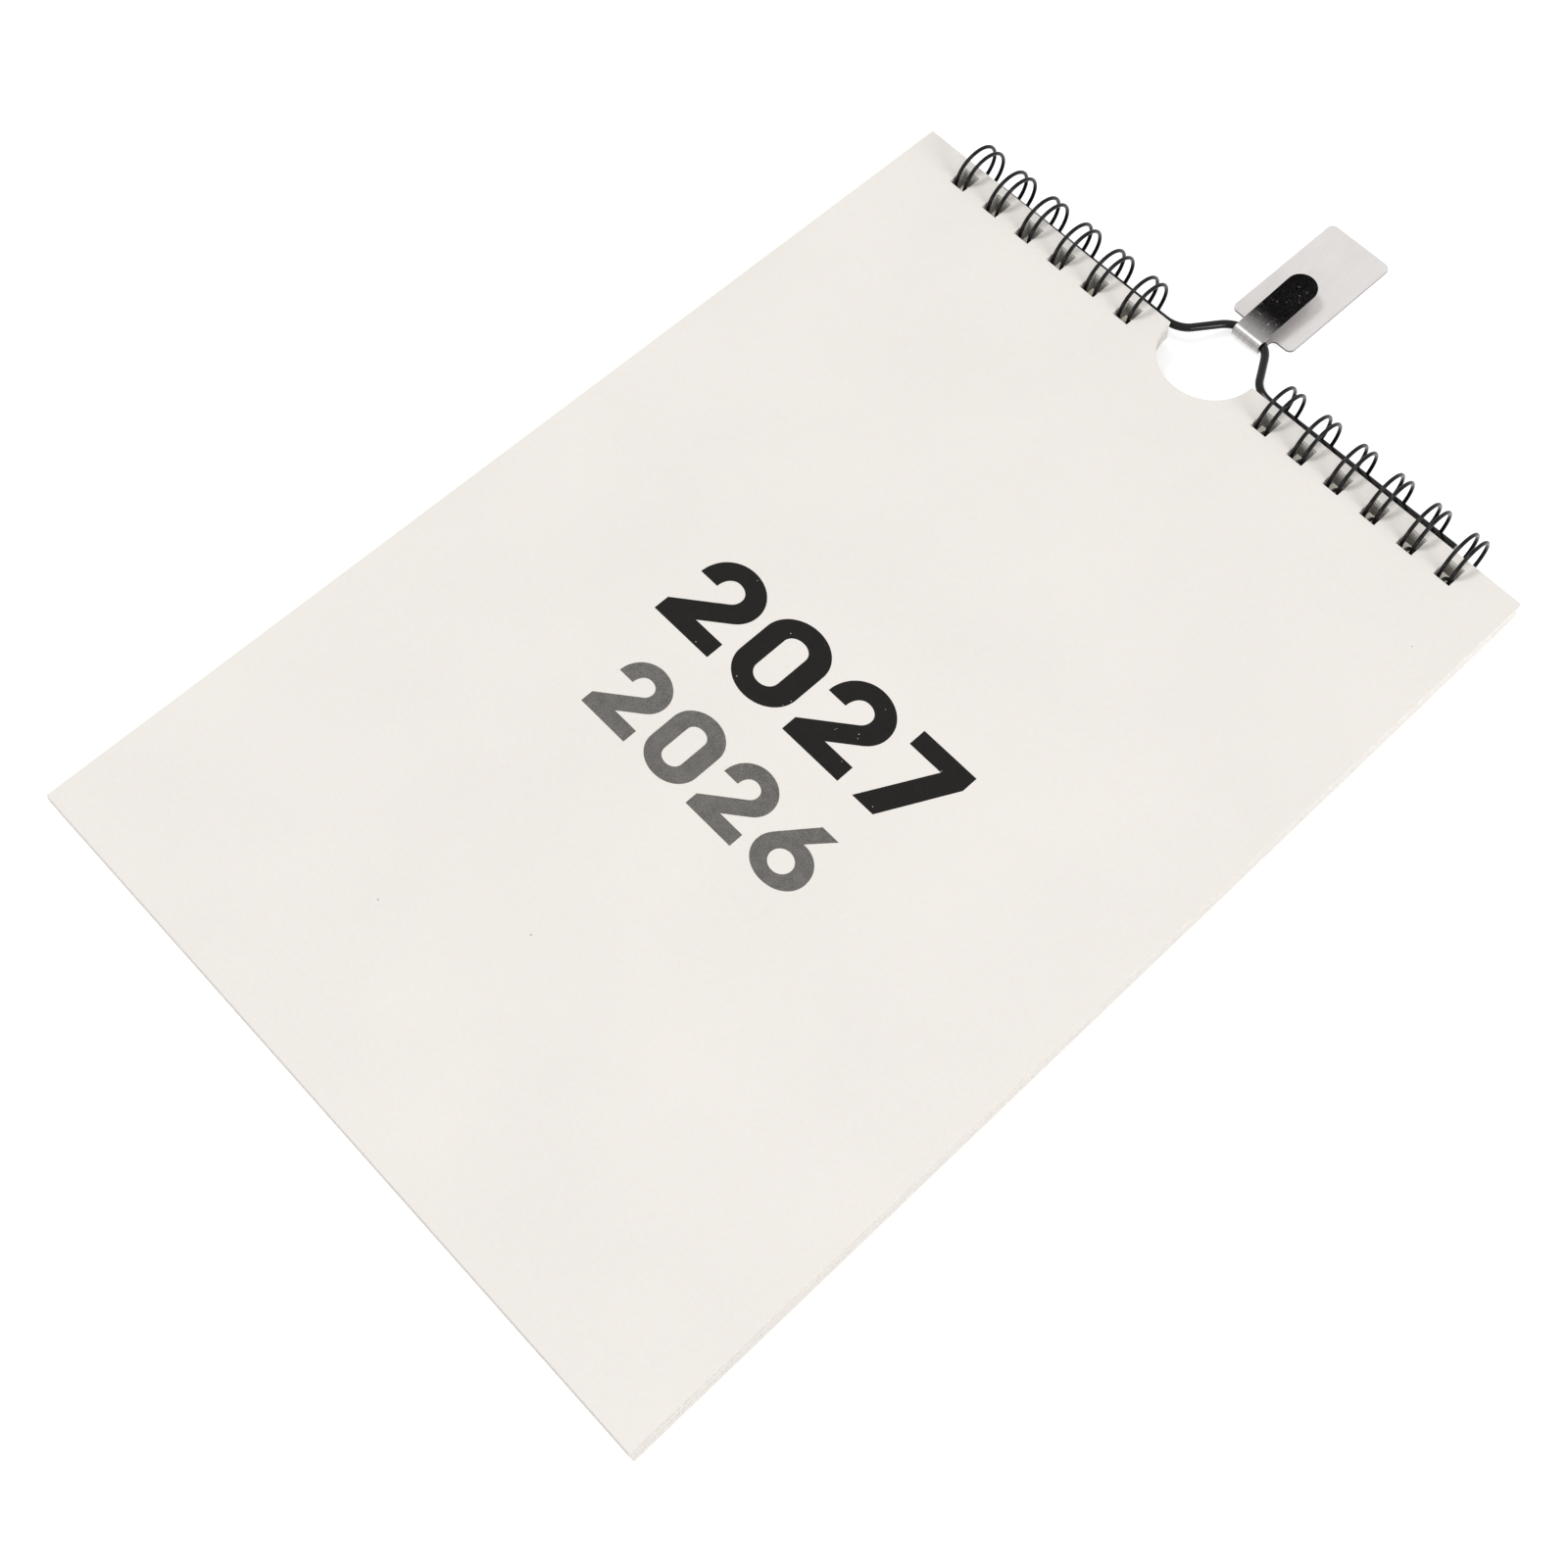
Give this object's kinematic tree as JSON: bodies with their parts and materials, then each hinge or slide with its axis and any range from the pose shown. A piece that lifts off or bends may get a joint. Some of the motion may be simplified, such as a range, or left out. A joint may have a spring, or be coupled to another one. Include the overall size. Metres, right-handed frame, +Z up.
{
  "type": "twin-loop wall calendar",
  "caption": "Wall calendar of loose leaves on two rows of twin-loop wire, with a thumb cut, a swinging wire hanger and an adhesive steel wall hook.",
  "frame": {"origin": "middle of the calendar's footprint, hook included, on the table it lies on", "axes": "+X across the page, +Y towards the binding and the hook, +Z up out of the cover"},
  "size_m": [0.2166, 0.3715, 0.017],
  "materials": {
    "cover_stock": "uncoated cream card, matt",
    "leaf_paper": "uncoated cream paper, matt",
    "board": "solid pale board, matt",
    "binding_wire": "black coated wire, satin",
    "hanger_wire": "black coated wire, glossy",
    "steel": "brushed stainless sheet",
    "adhesive": "soft adhesive foam pad"
  },
  "bodies": {
    "binding": {"back_board": "board", "twin_loop_left": "binding_wire", "twin_loop_right": "binding_wire"},
    "leaf_24": {"leaf_24": "leaf_paper"},
    "leaf_23": {"leaf_23": "leaf_paper"},
    "leaf_22": {"leaf_22": "leaf_paper"},
    "leaf_21": {"leaf_21": "leaf_paper"},
    "leaf_20": {"leaf_20": "leaf_paper"},
    "leaf_19": {"leaf_19": "leaf_paper"},
    "leaf_18": {"leaf_18": "leaf_paper"},
    "leaf_17": {"leaf_17": "leaf_paper"},
    "leaf_16": {"leaf_16": "leaf_paper"},
    "leaf_15": {"leaf_15": "leaf_paper"},
    "leaf_14": {"leaf_14": "leaf_paper"},
    "leaf_13": {"leaf_13": "leaf_paper"},
    "leaf_12": {"leaf_12": "leaf_paper"},
    "leaf_11": {"leaf_11": "leaf_paper"},
    "leaf_10": {"leaf_10": "leaf_paper"},
    "leaf_09": {"leaf_09": "leaf_paper"},
    "leaf_08": {"leaf_08": "leaf_paper"},
    "leaf_07": {"leaf_07": "leaf_paper"},
    "leaf_06": {"leaf_06": "leaf_paper"},
    "leaf_05": {"leaf_05": "leaf_paper"},
    "leaf_04": {"leaf_04": "leaf_paper"},
    "leaf_03": {"leaf_03": "leaf_paper"},
    "leaf_02": {"leaf_02": "leaf_paper"},
    "leaf_01": {"leaf_01": "leaf_paper"},
    "front_cover": {"front_cover": "cover_stock"},
    "hanger": {"hanger_wire": "hanger_wire"},
    "hook": {"wall_hook": "steel", "adhesive_pad": "adhesive"}
  },
  "joints": [
    {"name": "leaf_24_turn", "type": "hinge", "parent": "binding", "child": "leaf_24", "pos_m": [0, 0.11935, 0.00851], "axis": [-1, 0, 0], "range_deg": [0, 180]},
    {"name": "leaf_23_turn", "type": "hinge", "parent": "leaf_24", "child": "leaf_23", "pos_m": [0, 0.11935, 0.00851], "axis": [-1, 0, 0], "range_deg": [0, 180]},
    {"name": "leaf_22_turn", "type": "hinge", "parent": "leaf_23", "child": "leaf_22", "pos_m": [0, 0.11935, 0.00851], "axis": [-1, 0, 0], "range_deg": [0, 180]},
    {"name": "leaf_21_turn", "type": "hinge", "parent": "leaf_22", "child": "leaf_21", "pos_m": [0, 0.11935, 0.00851], "axis": [-1, 0, 0], "range_deg": [0, 180]},
    {"name": "leaf_20_turn", "type": "hinge", "parent": "leaf_21", "child": "leaf_20", "pos_m": [0, 0.11935, 0.00851], "axis": [-1, 0, 0], "range_deg": [0, 180]},
    {"name": "leaf_19_turn", "type": "hinge", "parent": "leaf_20", "child": "leaf_19", "pos_m": [0, 0.11935, 0.00851], "axis": [-1, 0, 0], "range_deg": [0, 180]},
    {"name": "leaf_18_turn", "type": "hinge", "parent": "leaf_19", "child": "leaf_18", "pos_m": [0, 0.11935, 0.00851], "axis": [-1, 0, 0], "range_deg": [0, 180]},
    {"name": "leaf_17_turn", "type": "hinge", "parent": "leaf_18", "child": "leaf_17", "pos_m": [0, 0.11935, 0.00851], "axis": [-1, 0, 0], "range_deg": [0, 180]},
    {"name": "leaf_16_turn", "type": "hinge", "parent": "leaf_17", "child": "leaf_16", "pos_m": [0, 0.11935, 0.00851], "axis": [-1, 0, 0], "range_deg": [0, 180]},
    {"name": "leaf_15_turn", "type": "hinge", "parent": "leaf_16", "child": "leaf_15", "pos_m": [0, 0.11935, 0.00851], "axis": [-1, 0, 0], "range_deg": [0, 180]},
    {"name": "leaf_14_turn", "type": "hinge", "parent": "leaf_15", "child": "leaf_14", "pos_m": [0, 0.11935, 0.00851], "axis": [-1, 0, 0], "range_deg": [0, 180]},
    {"name": "leaf_13_turn", "type": "hinge", "parent": "leaf_14", "child": "leaf_13", "pos_m": [0, 0.11935, 0.00851], "axis": [-1, 0, 0], "range_deg": [0, 180]},
    {"name": "leaf_12_turn", "type": "hinge", "parent": "leaf_13", "child": "leaf_12", "pos_m": [0, 0.11935, 0.00851], "axis": [-1, 0, 0], "range_deg": [0, 180]},
    {"name": "leaf_11_turn", "type": "hinge", "parent": "leaf_12", "child": "leaf_11", "pos_m": [0, 0.11935, 0.00851], "axis": [-1, 0, 0], "range_deg": [0, 180]},
    {"name": "leaf_10_turn", "type": "hinge", "parent": "leaf_11", "child": "leaf_10", "pos_m": [0, 0.11935, 0.00851], "axis": [-1, 0, 0], "range_deg": [0, 180]},
    {"name": "leaf_09_turn", "type": "hinge", "parent": "leaf_10", "child": "leaf_09", "pos_m": [0, 0.11935, 0.00851], "axis": [-1, 0, 0], "range_deg": [0, 180]},
    {"name": "leaf_08_turn", "type": "hinge", "parent": "leaf_09", "child": "leaf_08", "pos_m": [0, 0.11935, 0.00851], "axis": [-1, 0, 0], "range_deg": [0, 180]},
    {"name": "leaf_07_turn", "type": "hinge", "parent": "leaf_08", "child": "leaf_07", "pos_m": [0, 0.11935, 0.00851], "axis": [-1, 0, 0], "range_deg": [0, 180]},
    {"name": "leaf_06_turn", "type": "hinge", "parent": "leaf_07", "child": "leaf_06", "pos_m": [0, 0.11935, 0.00851], "axis": [-1, 0, 0], "range_deg": [0, 180]},
    {"name": "leaf_05_turn", "type": "hinge", "parent": "leaf_06", "child": "leaf_05", "pos_m": [0, 0.11935, 0.00851], "axis": [-1, 0, 0], "range_deg": [0, 180]},
    {"name": "leaf_04_turn", "type": "hinge", "parent": "leaf_05", "child": "leaf_04", "pos_m": [0, 0.11935, 0.00851], "axis": [-1, 0, 0], "range_deg": [0, 180]},
    {"name": "leaf_03_turn", "type": "hinge", "parent": "leaf_04", "child": "leaf_03", "pos_m": [0, 0.11935, 0.00851], "axis": [-1, 0, 0], "range_deg": [0, 180]},
    {"name": "leaf_02_turn", "type": "hinge", "parent": "leaf_03", "child": "leaf_02", "pos_m": [0, 0.11935, 0.00851], "axis": [-1, 0, 0], "range_deg": [0, 180]},
    {"name": "leaf_01_turn", "type": "hinge", "parent": "leaf_02", "child": "leaf_01", "pos_m": [0, 0.11935, 0.00851], "axis": [-1, 0, 0], "range_deg": [0, 180]},
    {"name": "front_cover_turn", "type": "hinge", "parent": "leaf_01", "child": "front_cover", "pos_m": [0, 0.11935, 0.00851], "axis": [-1, 0, 0], "range_deg": [0, 180]},
    {"name": "hanger_swing", "type": "hinge", "parent": "binding", "child": "hanger", "pos_m": [0, 0.12289, 0.00469], "axis": [-0.9999, -0.0105, 0], "range_deg": [-90, 0]},
    {"name": "hook_lift", "type": "slide", "parent": "hanger", "child": "hook", "axis": [0, 1, 0], "range_m": [-0.0258, 0]}
  ]
}
